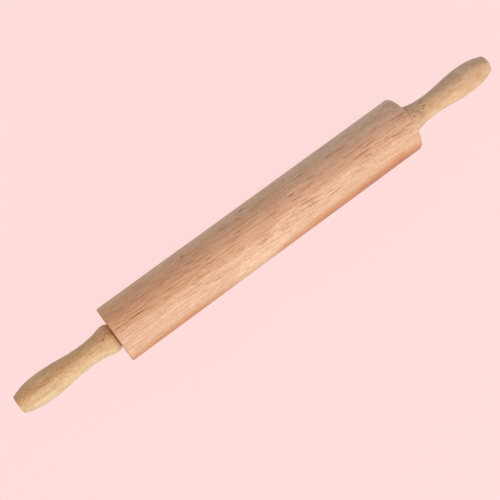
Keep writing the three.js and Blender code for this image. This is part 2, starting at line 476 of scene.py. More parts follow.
@dataclass(frozen=True)
class WoodFinish(Finish):
    """Plain sanded wood with flat growth layers, fine fibres and open pores, and painted light and
    shade across it.
    """

    radius: float  # of the turned stock, in mm
    end: float  # where its outer end lies along the axis, without its sign, in mm
    tones: Stops  # colours from the shaded side to the lit side: growth layers mixed with painted light and shade
    slope: float  # how far the grain drifts across the axis, as a tangent
    pore_share: float  # how strongly the pores show
    fibre_share: float  # and the fibres
    blotch_share: float  # and the blotches
    blotch: Swell
    shift: float  # an offset into the grain, in mm, so that no two pieces are cut alike
    marks: Sequence[Mark]
    bend: Triple | None = None  # from where to where the lit side's grain bends, and how far
    shade_greying: Colour | None = None  # painted shade: how the shaded side's colour changes from the middle to the right end
    rim: Rim | None = None

    # How the grain wanders, and how far, in mm.
    DRIFT = Swell(150.0, 40.0, detail=1.0)
    DRIFT_REACH = 9.0
    SWAY = Swell(110.0, 30.0, detail=1.0)
    SWAY_REACH = 7.0
    SWAY_SHIFT = 400.0

    # The lit side, as a direction across the pin. On it the place across the layers is 1, and on
    # the shaded side -1. The soft borders lie between them.
    LIT_SIDE = (-0.978, -0.206)
    BENT = (-0.1, 0.6)
    PALE = (-0.3, 0.5)
    SMOOTH = (0.2, 0.7)
    SHADE_GREYED = (0.35, -0.5)

    # What the layers of the figure do to the place in the ramp of tones, and to the tone itself.
    TONING = (0.64, 1.06, 1.36)
    WAVER = {Layer.BANDS: 0.16, Layer.MOTTLE: 0.05}
    BROAD_TONE = {Layer.BANDS: 0.2, Layer.MOTTLE: 0.12}
    FINE_TONE = {Layer.FIBRES: 1.0, Layer.SPECKS: 0.7, Layer.STREAKS: 0.26}
    PALE_STREAKS = (0.06, 0.2)
    PALE_TONE = 0.1

    # The pores: how the long and short ones lie, and how they gather or leave the lit side bare.
    LONG_PORES = Flecks((54.0, 1.7), (0.10, 0.16), share=0.9)
    SHORT_PORES = Flecks((22.0, 1.25), (0.11, 0.18), share=0.8)
    SHORT_SHARE = 0.8
    SHORT_SHIFT = 70.0
    SHORT_SLOPE = 0.02
    GATHER = Swell(45.0, 9.0, detail=1.0)
    GATHERED = (-0.2, 0.15)
    SCATTERED = 0.3
    BARENESS = 0.6
    PORE_TONING = (0.74, 1.06, 1.26)

    # The end faces, with growth rings about a heart that is given in radii.
    END_SKIN = 0.5
    END_TONE = -0.2
    HEART = (2.2, -0.6)
    RING_TURN = 1.5
    RING_WAVER = 2.0
    RING_DRIFT = 0.1
    RING_TONE = 0.07

    def paint(self, graph: Graph) -> None:
        """Adds the wood's nodes.

        Args:
            graph: The material's graph.
        """
        place = graph.place()
        x, y, z = graph.split(place)
        across = self._towards(self.LIT_SIDE, y, z)
        ends = abs(x).ease(self.end - self.END_SKIN, self.end)
        drift = self.DRIFT.cloud(graph, place) * self.DRIFT_REACH
        sway = self.SWAY.cloud(graph, graph.join(x + self.SWAY_SHIFT, y, z)) * self.SWAY_REACH
        lean = x * self.slope + drift
        if self.bend:
            lean = lean + x.ease(*self.bend[:2]) * across.ease(*self.BENT) * self.bend[2]
        grain = graph.join(x + self.shift, y + lean, z + sway)
        figure = {layer: layer.value.cloud(graph, grain) for layer in Layer}
        fibres, streaks = figure[Layer.FIBRES], figure[Layer.STREAKS]

        # The ramp of tones follows the lamp: grain tones mixed with painted light and shade.
        colour = graph.ramp(self.tones, across * 0.5 + 0.5 + weighed(figure, self.WAVER))
        if self.rim:
            fray = weighed(figure, Rim.FRAY)
            under = self._towards(Rim.UNDERSIDE, y, z)
            along = x / (2.0 * self.end) + 0.5
            colour = self.rim.tint(graph, colour, along, across + fray, under + fray)

        heart_y, heart_z = (share * self.radius for share in self.HEART)
        from_heart = graph.length(graph.join(
            0.0, y + drift * self.RING_DRIFT + heart_y, z + sway * self.RING_DRIFT + heart_z))
        turns = from_heart * self.RING_TURN + figure[Layer.MOTTLE] * self.RING_WAVER
        rings = graph.math("SINE", turns) * ends

        tone = weighed(figure, self.BROAD_TONE) + weighed(figure, self.FINE_TONE) * self.fibre_share
        tone = tone + self.blotch.cloud(graph, grain) * self.blotch_share
        tone = tone + streaks.ease(*self.PALE_STREAKS) * across.ease(*self.PALE) * self.PALE_TONE
        tone = tone + ends * self.END_TONE + rings * self.RING_TONE
        colour = graph.toned(colour, tone, self.TONING)

        around = graph.math("ARCTAN2", z, y) * self.radius - lean
        bare = 1.0 - across.ease(*self.SMOOTH) * self.BARENESS
        gather = self.GATHER.cloud(graph, grain).ease(*self.GATHERED)
        gather = gather * (1.0 - self.SCATTERED) + self.SCATTERED
        pores = self._pores(graph, x, around) * gather * bare * (1.0 - ends)
        for mark in self.marks:
            pores = pores + mark.mask(graph, place)
        colour = graph.toned(colour, -pores * self.pore_share, self.PORE_TONING)
        # Painted shade: the shaded side turns greyer towards the right end and warmer towards the
        # left.
        if self.shade_greying:
            colour = graph.toned(colour, x / self.end * across.ease(*self.SHADE_GREYED), self.shade_greying)

        inputs = {
            "Base Color": colour,
            "Roughness": 0.56 + fibres * 0.12 + pores * 0.15 + ends * 0.1,
            "IOR": 1.45,
            "Specular IOR Level": 0.35,
        }
        graph.surface(inputs, 0.5 + fibres * 0.3 - pores * 0.5, 0.12)

    def _towards(self, side: Point, y: Socket, z: Socket) -> Socket:
        """The place towards a side of the stock, from -1 to 1."""
        return (y * side[0] + z * side[1]) / self.radius

    def _pores(self, graph: Graph, along: Socket, around: Socket) -> Socket:
        """The open pores, long and short.

        Args:
            graph: The material's graph.
            along: The place along the axis, in mm.
            around: The place around it, in mm, following the grain.

        Returns:
            A mask of the pores.
        """
        turned = around + along * self.SHORT_SLOPE
        short = self.SHORT_PORES.mask(graph, along + self.SHORT_SHIFT, turned)
        return self.LONG_PORES.mask(graph, along + self.shift, around) + short * self.SHORT_SHARE


@dataclass(frozen=True)
class MetalFinish(Finish):
    """Turned or ground metal with fine marks round its axis."""

    colour: Colour
    tarnish: Colour  # of its duller patches
    roughness: float
    mark: float  # the spacing of its turning marks, in mm

    MARK_WIDTH = 40.0
    PATCHES = Swell(5.0, 3.0, detail=3.0)
    RELIEF = 0.004

    def paint(self, graph: Graph) -> None:
        """Adds the metal's nodes.

        Args:
            graph: The material's graph.
        """
        place = graph.place()
        marks = Swell(self.mark, self.MARK_WIDTH).cloud(graph, place)
        patches = self.PATCHES.cloud(graph, place)
        inputs = {
            "Base Color": graph.mix(patches.ease(-0.15, 0.3) * 0.5, self.colour, self.tarnish),
            "Roughness": self.roughness + marks * 0.12 + patches * 0.10,
            "Metallic": 1.0,
        }
        graph.surface(inputs, marks + 0.5, self.RELIEF)


@dataclass(frozen=True)
class NylonFinish(Finish):
    """Moulded nylon with a faint bloom."""

    colour: Colour
    bloom: Colour  # of its paler patches
    grain: float  # the size of its moulded grain, in mm

    PATCHES = Swell(4.0, 4.0, detail=3.0)
    RELIEF = 0.02

    def paint(self, graph: Graph) -> None:
        """Adds the nylon's nodes.

        Args:
            graph: The material's graph.
        """
        place = graph.place()
        patches = self.PATCHES.cloud(graph, place)
        skin = Swell(self.grain, self.grain, detail=1.0).cloud(graph, place)
        inputs = {
            "Base Color": graph.mix(patches.ease(-0.2, 0.3), self.colour, self.bloom),
            "Roughness": 0.52 + patches * 0.15,
            "IOR": 1.53,
            "Specular IOR Level": 0.25,
        }
        graph.surface(inputs, skin + 0.5, self.RELIEF)


@dataclass(frozen=True)
class FloorFinish(Finish):
    """Pale paper that glows a little, so that shadows on it stay faint."""

    colour: Colour
    glow: float  # how much of it is its own light
    shaded: float  # how much of it takes light and shadow

    def paint(self, graph: Graph) -> None:
        """Adds the paper's nodes.

        Args:
            graph: The material's graph.
        """
        paint = (*self.colour, 1.0)
        light = {"Color": paint, "Strength": self.glow}
        glow = graph.node("ShaderNodeEmission", inputs=light)[0]
        matte = graph.node("ShaderNodeBsdfDiffuse", inputs={"Color": paint})[0]
        both = graph.node("ShaderNodeMixShader", inputs={0: self.shaded, 1: glow, 2: matte})[0]
        graph.node("ShaderNodeOutputMaterial", inputs={"Surface": both})


def arc(centre: Point, radii: Point, start: float, end: float, steps: int) -> list[Point]:
    """Points on an ellipse from one angle to another, in degrees from the axis outwards."""
    turns = [math.radians(start + (end - start) * i / steps) for i in range(steps + 1)]
    return [(centre[0] + radii[0] * math.cos(t), centre[1] + radii[1] * math.sin(t)) for t in turns]


def sweep(a: Point, b: Point, c: Point, d: Point, steps: int) -> list[Point]:
    """Points on a cubic curve.

    Args:
        a: Its start.
        b: The point that its start leans to.
        c: The point that its end leans back to.
        d: Its end.
        steps: How many straight steps it has.

    Returns:
        The points without the first.
    """
    start, out, back, end = (Vector(p) for p in (a, b, c, d))
    curve = []
    for t in (i / steps for i in range(1, steps + 1)):
        s = 1 - t
        point = start * s**3 + out * 3 * t * s**2 + back * 3 * t**2 * s + end * t**3
        curve.append((point.x, point.y))
    return curve


def run(a: Point, b: Point, step: float) -> list[Point]:
    """Evenly spaced points on a straight run, a step apart at most, without its ends."""
    count = max(1, math.ceil(math.dist(a, b) / step))
    return [tuple(Vector(a).lerp(Vector(b), i / count)) for i in range(1, count)]


def broken(corners: Sequence[Point], radius: float, steps: int = 3) -> list[Point]:
    """Rounds the corners of a closed section.

    Args:
        corners: Its corners in order.
        radius: How far from a corner the rounding starts. Short sides take less.
        steps: How many straight steps each rounding has.

    Returns:
        The rounded section.
    """
    most = 0.45
    rounded: list[Point] = []
    for i, corner in enumerate(corners):
        here = Vector(corner)
        before = Vector(corners[i - 1]) - here
        after = Vector(corners[(i + 1) % len(corners)]) - here
        start = here + before.normalized() * min(radius, before.length * most)
        end = here + after.normalized() * min(radius, after.length * most)
        for t in (k / steps for k in range(steps + 1)):
            rounded.append(tuple(start * (1 - t) ** 2 + here * 2 * t * (1 - t) + end * t * t))
    return rounded


def mirrored(points: Sequence[Point]) -> list[Point]:
    """The same points on the other side of zero, in reverse."""
    return [(-along, other) for along, other in reversed(points)]


@dataclass(frozen=True)
class Turning:
    """A shape turned about the pin's axis."""

    section: Sequence[Point]  # places and radii, in a closed round or from axis to axis
    facets: int = 72  # how many go round it
    relief: Relief | None = None  # what a point's place, radius and angle add to its radius
    crease: float = 32.0  # the angle in degrees past which an edge stays sharp

    ON_AXIS = 1e-6

    def make(self, name: str, side: Side = Side.RIGHT) -> bpy.types.Object:
        """Turns the shape.

        Args:
            name: The piece's name.
            side: The end that it belongs to. The section is written for the right one.

        Returns:
            The piece, linked to the scene.
        """
        shape = bmesh.new()
        rings = [self._ring(shape, side.sign * along, radius) for along, radius in self.section]
        pairs = list(zip(rings, rings[1:]))
        if len(rings[0]) > 1:
            pairs.append((rings[-1], rings[0]))
        for low, high in pairs:
            count = max(len(low), len(high))
            for i in range(count):
                j = (i + 1) % count
                corners = (low[i % len(low)], low[j % len(low)],
                           high[j % len(high)], high[i % len(high)])
                shape.faces.new(list(dict.fromkeys(corners)))  # one point each on the axis
        bmesh.ops.recalc_face_normals(shape, faces=shape.faces)
        return link_mesh(name, shape, self.crease)

    def _ring(self, shape: bmesh.types.BMesh, along: float, radius: float) -> Ring:
        """Adds the points of one ring.

        Args:
            shape: The mesh under way.
            along: The ring's place on the axis, in mm.
            radius: Its radius, in mm.

        Returns:
            Its points, or the one point on the axis.
        """
        if radius < self.ON_AXIS:
            return [shape.verts.new((along * MM, 0.0, 0.0))]
        ring = []
        for i in range(self.facets):
            angle = 2.0 * math.pi * i / self.facets
            r = radius + (self.relief(along, radius, angle) if self.relief else 0.0)
            place = (along * MM, r * math.cos(angle) * MM, r * math.sin(angle) * MM)
            ring.append(shape.verts.new(place))
        return ring


def link_mesh(name: str, shape: bmesh.types.BMesh, crease: float) -> bpy.types.Object:
    """Makes a smooth piece of a mesh under way.

    Args:
        name: The piece's name.
        shape: The mesh, which is used up.
        crease: The angle in degrees past which an edge stays sharp.

    Returns:
        The piece, linked to the scene.
    """
    mesh = bpy.data.meshes.new(name)
    shape.to_mesh(mesh)
    shape.free()
    mesh.polygons.foreach_set("use_smooth", [True] * len(mesh.polygons))
    mesh.set_sharp_from_angle(angle=math.radians(crease))
    piece = bpy.data.objects.new(name, mesh)
    bpy.context.scene.collection.objects.link(piece)
    return piece


def seat(piece: bpy.types.Object, node: str, slot: Slot, finish: Finish) -> None:
    """Puts a piece in the place of its node and on its body.

    Args:
        piece: The piece, in place.
        node: The node that it stands for.
        slot: The record's slot for its finish. It is not used.
        finish: Its finish.
    """
    piece.data.materials.append(finish.material())
    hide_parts(node)
    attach(piece, frame["nodes"][node]["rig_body"])


@dataclass(frozen=True)
class Hollows:
    """The shallow hollows that tools leave in turned wood. They never stand proud of it."""

    inside: float  # the radius up to which the wood has none
    length: float  # their length along the axis
    turn: float  # how fast they change round the axis
    depth: float  # their mean depth

    def relief(self, along: float, radius: float, angle: float) -> float:
        """What they add to a point's radius.

        Args:
            along: The place on the axis, in mm.
            radius: The turned radius.
            angle: The angle round the axis.

        Returns:
            The addition, which is 0 or less.
        """
        if radius < self.inside:
            return 0.0
        y, z = math.cos(angle) * self.turn, math.sin(angle) * self.turn
        return -self.depth * (1.0 + noise.noise(Vector((along / self.length, y, z))))


@dataclass(frozen=True)
class Thread:
    """A right-handed screw thread on the axle's ends."""

    starts: float  # where it begins along the axis, without its sign, in mm
    pitch: float = 1.25  # the distance from turn to turn
    depth: float = 0.6  # the depth of its groove
    fade: float = 1.6  # the length over which it runs out
    flank: float = 2.6  # how steep its flanks are, in depths per turn
    root: float = 0.15  # how far the flanks are cut off at the groove's floor, in depths
    steps: float = 9.0  # how many steps a turn has

    def cut(self, along: float, angle: float) -> float:
        """The depth of the groove at a point.

        Args:
            along: The place on the axis, in mm.
            angle: The angle round it.

        Returns:
            The depth, in mm.
        """
        turn = (along / self.pitch - angle / (2.0 * math.pi)) % 1.0
        wave = min(1.0, max(0.0, abs(turn - 0.5) * self.flank - self.root))
        share = min(1.0, max(0.0, (abs(along) - self.starts) / self.fade))
        return self.depth * (1.0 - wave) * share

    def turns(self, a: Point, b: Point) -> list[Point]:
        """Points fine enough to cut the thread between two ends, without these."""
        return run(a, b, self.pitch / self.steps)


@dataclass
class Barrel:
    """The wooden barrel, bored for the axle and counterbored for the bearing carriers."""

    finish: WoodFinish
    bore: float = 6.0  # its radius
    seat: Point = (6.91, 9.85)  # the counterbore for a carrier's cup, as depth and radius
    rebate: Point = (0.4, 11.05)  # the shallow counterbore for its flange
    edge: float = 1.2  # the rounding of its ends
    chamfer: float = 0.2  # round the rebate
    hollows: Hollows = Hollows(inside=19.05, length=45.0, turn=1.3, depth=0.05)  # from sanding
    steps: Point = (3.0, 12.0)  # the longest ones of its outside and of its bore
    facets: int = 224

    def build(self) -> bpy.types.Object:
        """Turns the barrel.

        Returns:
            The piece.
        """
        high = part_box("barrel")[1]
        half, radius = high.x / MM, high.z / MM
        shelf, floor = half - self.rebate[0], half - self.seat[0]
        lip = (half, self.rebate[1] + self.chamfer)
        end = [
            *arc((half - self.edge, radius - self.edge), (self.edge, self.edge), 90, 0, 8),
            *run((half, radius - self.edge), lip, self.steps[0]),
            lip,
            (half - self.chamfer, self.rebate[1]),
            (shelf, self.rebate[1]), (shelf, self.seat[1]),
            (floor, self.seat[1]), (floor, self.bore),
        ]
        other = mirrored(end)
        outside = run(other[-1], end[0], self.steps[0])
        inside = run(end[-1], other[0], self.steps[1])
        section = [*outside, *end, *inside, *other]
        turning = Turning(section, self.facets, self.hollows.relief, crease=40.0)
        return turning.make("turned_barrel")

    def dress(self) -> None:
        """Builds the barrel and puts it on the roller."""
        seat(self.build(), "barrel", Slot.BARREL_WOOD, self.finish)


@dataclass
class Handle:
    """A turned handle with a shoulder, a neck, a bulge and a flat tip."""

    side: Side
    finish: WoodFinish
    face_radius: float = 10.9  # of its inner face
    shoulder: Point = (4.7, 12.6)  # its first swell, as distance from the inner face and radius
    neck: Point = (28.0, 9.65)  # its narrowest place
    bulge: Point = (65.8, 12.35)  # its second swell
    tip_radius: float = 8.2
    tip_round: float = 0.9  # the rounding of the tip's edge
    # how far the shoulder, both sides of the neck and both of the bulge hold their radius
    holds: tuple[float, ...] = (4.4, 16.5, 14.0, 13.6, 13.6)
    tip_lean: Point = (6.9, 2.6)  # where the last curve leans to before the tip
    pocket: Point = (19.0, 6.3)  # for the insert, as depth and radius
    hole: Point = (24.85, 4.15)  # for the axle, as depth and radius
    floor_rise: float = 0.6  # how far the hole's floor rises in its middle
    chamfer: float = 0.4  # of the pocket
    hollows: Hollows = Hollows(inside=8.2, length=9.0, turn=0.8, depth=0.07)  # from the gouge
    step: float = 1.5  # the longest one of its flat faces
    facets: int = 144

    def outline(self, length: float) -> list[Point]:
        """The outside from the inner face to the tip.

        Args:
            length: The handle's length.

        Returns:
            Points of distance from the inner face and radius.
        """
        shoulder_out, neck_in, neck_out, bulge_in, bulge_out = self.holds
        (shoulder, shoulder_r), (neck, neck_r), (bulge, bulge_r) = (
            self.shoulder, self.neck, self.bulge)
        end = (length - self.tip_round, self.tip_radius)
        lean = (end[0] - self.tip_lean[0], end[1] + self.tip_lean[1])
        swell = (shoulder, shoulder_r - self.face_radius)
        edge = (self.tip_round, self.tip_round)
        return [
            *arc((shoulder, self.face_radius), swell, 180, 90, 12),
            *sweep(self.shoulder, (shoulder + shoulder_out, shoulder_r),
                   (neck - neck_in, neck_r), self.neck, 16),
            *sweep(self.neck, (neck + neck_out, neck_r),
                   (bulge - bulge_in, bulge_r), self.bulge, 20),
            *sweep(self.bulge, (bulge + bulge_out, bulge_r), lean, end, 20),
            *arc((end[0], end[1] - self.tip_round), edge, 90, 0, 6)[1:],
        ]

    def build(self) -> bpy.types.Object:
        """Turns the handle.

        Returns:
            The piece.
        """
        face, end = self.side.span("handle")
        hole, pocket = face + self.hole[0], face + self.pocket[0]
        outside = [(face + along, radius) for along, radius in self.outline(end - face - HAIR)]
        mouth, tip = (face, self.pocket[1] + self.chamfer), outside[-1]
        section = [
            (hole - self.floor_rise, 0.0),
            (hole, self.hole[1]), (pocket, self.hole[1]),
            (pocket, self.pocket[1]), (face + self.chamfer, self.pocket[1]),
            mouth,
            *run(mouth, outside[0], self.step),
            *outside,
            *run(tip, (tip[0], 0.0), self.step),
            (tip[0], 0.0),
        ]
        turning = Turning(section, self.facets, self.hollows.relief, crease=50.0)
        return turning.make(self.side.node("turned_handle"), self.side)

    def dress(self) -> None:
        """Builds the handle and puts it on its body."""
        seat(self.build(), self.side.node("handle"), Slot.HANDLE_WOOD, self.finish)


@dataclass
class Axle:
    """The stepped steel axle, threaded where the handles screw on."""

    finish: MetalFinish
    thread: Thread
    step: float = 5.0  # the radius between the bearings
    journal: float = 4.0  # the radius of its ends
    step_at: float = 145.24  # where it steps down, in mm from the middle
    step_edge: float = 0.3  # the chamfer of the step
    step_root: float = 0.2  # the relief at its foot
    chamfer: float = 0.8  # of its tips
    stride: float = 24.0  # the longest piece of its plain length
    facets: int = 48

    def build(self) -> bpy.types.Object:
        """Turns the axle and cuts its threads.

        Returns:
            The piece.
        """
        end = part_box("axle_rod")[1].x / MM
        edge = (self.step_at - self.step_edge, self.step)
        start, tip = (self.thread.starts, self.journal), (end - self.chamfer, self.journal)
        half = [
            *run((0.0, self.step), edge, self.stride),
            edge,
            (self.step_at, self.step - self.step_edge),
            (self.step_at, self.journal + self.step_root),
            (self.step_at + self.step_root, self.journal),
            start,
            *self.thread.turns(start, tip),
            tip,
            (end, self.journal - self.chamfer),
            (end, 0.0),
        ]
        turning = Turning([*mirrored(half), *half], self.facets, self.threaded, crease=60.0)
        return turning.make("threaded_axle")

    def threaded(self, along: float, radius: float, angle: float) -> float:
        """What the thread adds to the radius of a point of the axle, which is 0 or less."""
        return -self.thread.cut(along, angle) * (radius > self.journal - HAIR)

    def dress(self) -> None:
        """Builds the axle and puts it on its body."""
        seat(self.build(), "axle_rod", Slot.AXLE_STEEL, self.finish)


@dataclass
class HandleFixing:
    """What holds a handle on the axle: a barbed brass insert and a washer."""

    side: Side
    brass: MetalFinish  # of the insert
    steel: MetalFinish  # of the washer
    thread: Thread  # in the insert
    bore: float = 4.15  # the radius of both bores, before the insert's thread is cut
    clearance: float = 0.15  # the room that this bore leaves round the axle
    play: float = 0.12  # the room between the two threads
    chamfer: float = 0.5  # of the insert's bore
    wall: float = 5.65  # the radius under the insert's barbs
    barb: float = 0.5  # how far each barb stands out
    barb_edge: Point = (0.15, 0.12)  # its chamfer, as length and height
    barb_land: float = 0.5  # where its crest ends
    barbs: int = 4
    washer_radius: float = 5.55
    rolled: float = 0.18  # the rounding of the washer's edges
    facets: int = 48

    def insert(self) -> bpy.types.Object:
        """Turns the insert and cuts its barbs and its thread.

        Returns:
            The piece.
        """
        start, end = self.side.span("handle_insert")
        pitch, crest = (end - start) / self.barbs, self.wall + self.barb
        section: list[Point] = []
        for root in (start + pitch * i for i in range(self.barbs)):
            section += [
                (root, crest - self.barb_edge[1]), (root + self.barb_edge[0], crest),
                (root + self.barb_land, crest), (root + pitch, self.wall),
            ]
        mouth, outer, inner = self.bore + self.chamfer, end - self.chamfer, start + self.chamfer
        threaded = self.thread.turns((outer, self.bore), (inner, self.bore))
        section += [(end, mouth), (outer, self.bore), *threaded, (inner, self.bore), (start, mouth)]
        turning = Turning(section, self.facets, self.threaded, crease=60.0)
        return turning.make(self.side.node("barbed_insert"), self.side)

    def threaded(self, along: float, radius: float, angle: float) -> float:
        """What the insert's thread adds to the radius of a point, which is 0 or less."""
        plain = radius > self.bore + HAIR
        return 0.0 if plain else self.play - self.clearance - self.thread.cut(along, angle)

    def washer(self) -> bpy.types.Object:
        """Stamps the washer, with the rolled edge that the punch leaves.

        Returns:
            The piece.
        """
        start, end = self.side.span("thrust_washer")
        corners = [(start, self.bore), (start, self.washer_radius),
                   (end, self.washer_radius), (end, self.bore)]
        turning = Turning(broken(corners, self.rolled))
        return turning.make(self.side.node("stamped_washer"), self.side)

    def dress(self) -> None:
        """Builds both pieces and puts them on their body."""
        seat(self.insert(), self.side.node("handle_insert"), Slot.INSERT_BRASS, self.brass)
        seat(self.washer(), self.side.node("thrust_washer"), Slot.AXLE_STEEL, self.steel)


@dataclass
class Bearing:
    """A shielded ball bearing in its flanged nylon carrier."""

    side: Side
    steel: MetalFinish  # of the races, shields and balls
    nylon: NylonFinish  # of the carrier
    cage_nylon: NylonFinish
    bore: float = 4.15  # the radius inside the inner race
    outer: float = 8.05  # the radius round the outer race
    pitch: float = 6.10  # the radius of the circle that the balls run on
    ball: float = 1.2  # a ball's radius
    groove: float = 1.32  # the radius of a race's groove
    land: float = 0.96  # how far each land lies from the pitch circle
    edges: Triple = (0.2, 0.1, 0.25)  # chamfers of the inner race's bore and land, and the outer's
    play: float = 0.15  # the room round and behind the outer race, and of a shield in its seat
    shield_seat: float = 7.46  # the radius of this seat
    shield_gap: float = 0.3  # how far behind the cage a shield begins
    shield_thickness: float = 0.35  # over its step
    shield_sheet: float = 0.2  # the thickness of its sheet
    shield_bend: Point = (6.55, 0.25)  # the radius of its step, and the step's width
    shield_lip: float = 5.44  # the radius of its inner edge
    shield_roll: tuple[float, ...] = (0.1, 0.06, 0.12, 0.2)  # this edge's chamfer, setback, heights
    cage_half: float = 0.45  # half of the cage's thickness across the pitch circle
    cage_lip: float = 0.6  # how far the cage reaches past the balls' middle
    cage_back: float = 1.68  # how far it reaches behind it
    cup: float = 9.7  # the carrier's radius inside the barrel
    lead_in: Point = (0.8, 0.3)  # the chamfer of the cup's bottom, as length and height
    flange: float = 0.9  # its thickness
    rib: float = 0.12  # the height of the carrier's crush ribs
    ribs: int = 18
    facets: int = 90
    middle: float = field(init=False)  # the bearing's middle along the axis, without its sign
    half: float = field(init=False)  # half of its width

    RIB_POWER = 4
    CLAW_ROWS, CLAW_STEPS, POCKET_STEPS = 5, 4, 10

    def __post_init__(self) -> None:
        """Reads the bearing's middle and half width from the frame."""
        start, end = self.side.span("inner_race")
        self.middle, self.half = (start + end) / 2.0, (end - start) / 2.0

    @property
    def ball_nodes(self) -> list[str]:
        """The frame's balls at this end, in order."""
        start = self.side.node("ball_")
        return sorted(n for n in frame["nodes"] if n.startswith(start) and n[-1].isdigit())

    def turn(
        self, name: str, section: Sequence[Point], relief: Relief | None = None
    ) -> bpy.types.Object:
        """Turns a section that is counted from the bearing's middle.

        Args:
            name: The piece's name.
            section: Its section.
            relief: Its relief, where it has one.

        Returns:
            The piece.
        """
        placed = [(self.middle + along, radius) for along, radius in section]
        return Turning(placed, self.facets, relief).make(self.side.node(name), self.side)

    def track(self, towards: float) -> list[Point]:
        """The arc of a race's groove about an angle in degrees."""
        spread = math.degrees(math.acos(self.land / self.groove))
        return arc((0.0, self.pitch), (self.groove,) * 2, towards - spread, towards + spread, 14)

    def inner_race(self) -> bpy.types.Object:
        """Grinds the inner race.

        Returns:
            The piece.
        """
        land, (edge, break_edge, _) = self.pitch - self.land, self.edges
        start = [
            (-self.half + edge, self.bore), (-self.half, self.bore + edge),
            (-self.half, land - break_edge), (-self.half + break_edge, land),
        ]
        return self.turn("ground_inner_race", [*start, *self.track(270), *mirrored(start)])

    def outer_race(self) -> bpy.types.Object:
        """Grinds the outer race with its groove and its two shield seats.

        Returns:
            The piece.
        """
        edge, seat_at = self.edges[2], self.cage_back + self.play
        start = [
            (self.half - edge, self.outer), (self.half, self.outer - edge),
            (self.half, self.shield_seat), (seat_at, self.shield_seat),
            (seat_at, self.pitch + self.land),
        ]
        return self.turn("ground_outer_race", [*start, *self.track(90), *mirrored(start)])

    def shield(self, outward: int) -> bpy.types.Object:
        """Presses one shield, with a shallow step and a rolled inner edge.

        Args:
            outward: 1 for the side towards the handle, -1 for the other.

        Returns:
            The piece.
        """
        inside, sheet, lip = self.cage_back + self.shield_gap, self.shield_sheet, self.shield_lip
        outside = inside + self.shield_thickness
        rim, bend = self.shield_seat - self.play, self.shield_bend[0]
        step = bend + self.shield_bend[1]
        edge, setback, low, high = self.shield_roll
        corners = [
            (inside, rim), (inside + sheet, rim), (inside + sheet, step), (outside, bend),
            (outside, lip + edge), (outside - edge, lip), (inside + setback, lip),
            (inside + setback, lip + low), (outside - sheet, lip + high), (outside - sheet, bend),
            (inside, step),
        ]
        name = "pressed_outer_shield" if outward > 0 else "pressed_inner_shield"
        turned = [(outward * along, radius) for along, radius in corners]
        return self.turn(name, broken(turned, radius=0.05, steps=2))

    def carrier(self) -> bpy.types.Object:
        """Moulds the carrier, with a rounded flange and crush ribs round its cup.

        Returns:
            The piece.
        """
        bottom, face = (end - self.middle for end in self.side.span("bearing_carrier"))
        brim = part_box(self.side.node("bearing_carrier"))[1].z / MM
        floor, under = -self.half - self.play, face - self.flange
        hole, inside = self.pitch + self.land, self.outer + self.play
        corners = [
            (bottom, hole), (bottom, self.cup - self.lead_in[1]),
            (bottom + self.lead_in[0], self.cup), (under, self.cup),
            (under, brim), (face, brim), (face, inside), (floor, inside), (floor, hole),
        ]
        return self.turn("moulded_carrier", broken(corners, radius=0.22, steps=4), self.ribbed)

    def ribbed(self, along: float, radius: float, angle: float) -> float:
        """What the crush ribs add to the radius of a point, round the cup alone."""
        wave = max(0.0, math.cos(self.ribs * angle)) ** self.RIB_POWER
        return self.rib * wave * (abs(radius - self.cup) <= HAIR)

    def balls(self) -> dict[str, bpy.types.Object]:
        """Makes the balls, fine enough to look ground.

        Returns:
            Each ball by its node.
        """
        made = {}
        for node in self.ball_nodes:
            low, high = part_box(node)
            shape = bmesh.new()
            bmesh.ops.create_icosphere(shape, subdivisions=4, radius=self.ball * MM)
            bmesh.ops.translate(shape, vec=(low + high) / 2.0, verts=shape.verts)
            made[node] = link_mesh(node.replace("ball", "ground_ball"), shape, crease=60.0)
        return made

    def cage_cell(self) -> list[list[Point]]:
        """One pocket of the cage and the half posts beside it, rolled out flat.

        Returns:
            Its faces, each as four points of distance along the ring and depth.
        """
        post = math.pi * self.pitch / len(self.ball_nodes)
        levels = []
        for i in range(self.CLAW_ROWS + 1):
            depth = self.cage_lip * i / self.CLAW_ROWS
            width = math.sqrt(self.groove**2 - depth**2) - post
            shares = [j / self.CLAW_STEPS for j in range(self.CLAW_STEPS + 1)]
            levels.append([(post + width * share, depth) for share in shares])
        pocket = arc((0.0, 0.0), (self.groove, self.groove), 0, -90, self.POCKET_STEPS)
        top = levels[0] + pocket[1:]
        back = [(along, -self.cage_back) for along, _ in top]
        faces = []
        for low, high in ((back, top), *zip(levels, levels[1:])):
            for i in range(len(high) - 1):
                face = [low[i], low[i + 1], high[i + 1], high[i]]
                faces += [face, mirrored(face)]
        return faces

    def cage(self) -> bpy.types.Object:
        """Moulds the crown cage, whose pockets open to one side and grip the balls.

        Returns:
            The piece.
        """
        shape = bmesh.new()
        outside, inside = self.pitch + self.cage_half, self.pitch - self.cage_half
        cell = self.cage_cell()
        for node in self.ball_nodes:
            low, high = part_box(node)
            middle = math.atan2(low.z + high.z, low.y + high.y)
            for face in cell:
                corners = []
                for along, depth in face:
                    angle = middle + along / self.pitch
                    y, z = outside * math.cos(angle), outside * math.sin(angle)
                    place = Vector((self.side.sign * (self.middle + depth), y, z))
                    corners.append(shape.verts.new(place * MM))
                shape.faces.new(corners)
        bmesh.ops.remove_doubles(shape, verts=shape.verts, dist=0.1 * HAIR * MM)
        shrink = Vector((1.0, inside / outside, inside / outside))
        inner = {point: shape.verts.new(point.co * shrink) for point in shape.verts[:]}
        lining = [[inner[point] for point in face.verts] for face in shape.faces]
        rim = [edge.verts for edge in shape.edges if edge.is_boundary]
        walls = [[start, end, inner[end], inner[start]] for start, end in rim]
        for corners in lining + walls:  # by hand, as an extrusion leaves their order to chance
            shape.faces.new(corners)
        bmesh.ops.recalc_face_normals(shape, faces=shape.faces)
        return link_mesh(self.side.node("moulded_cage"), shape, crease=30.0)

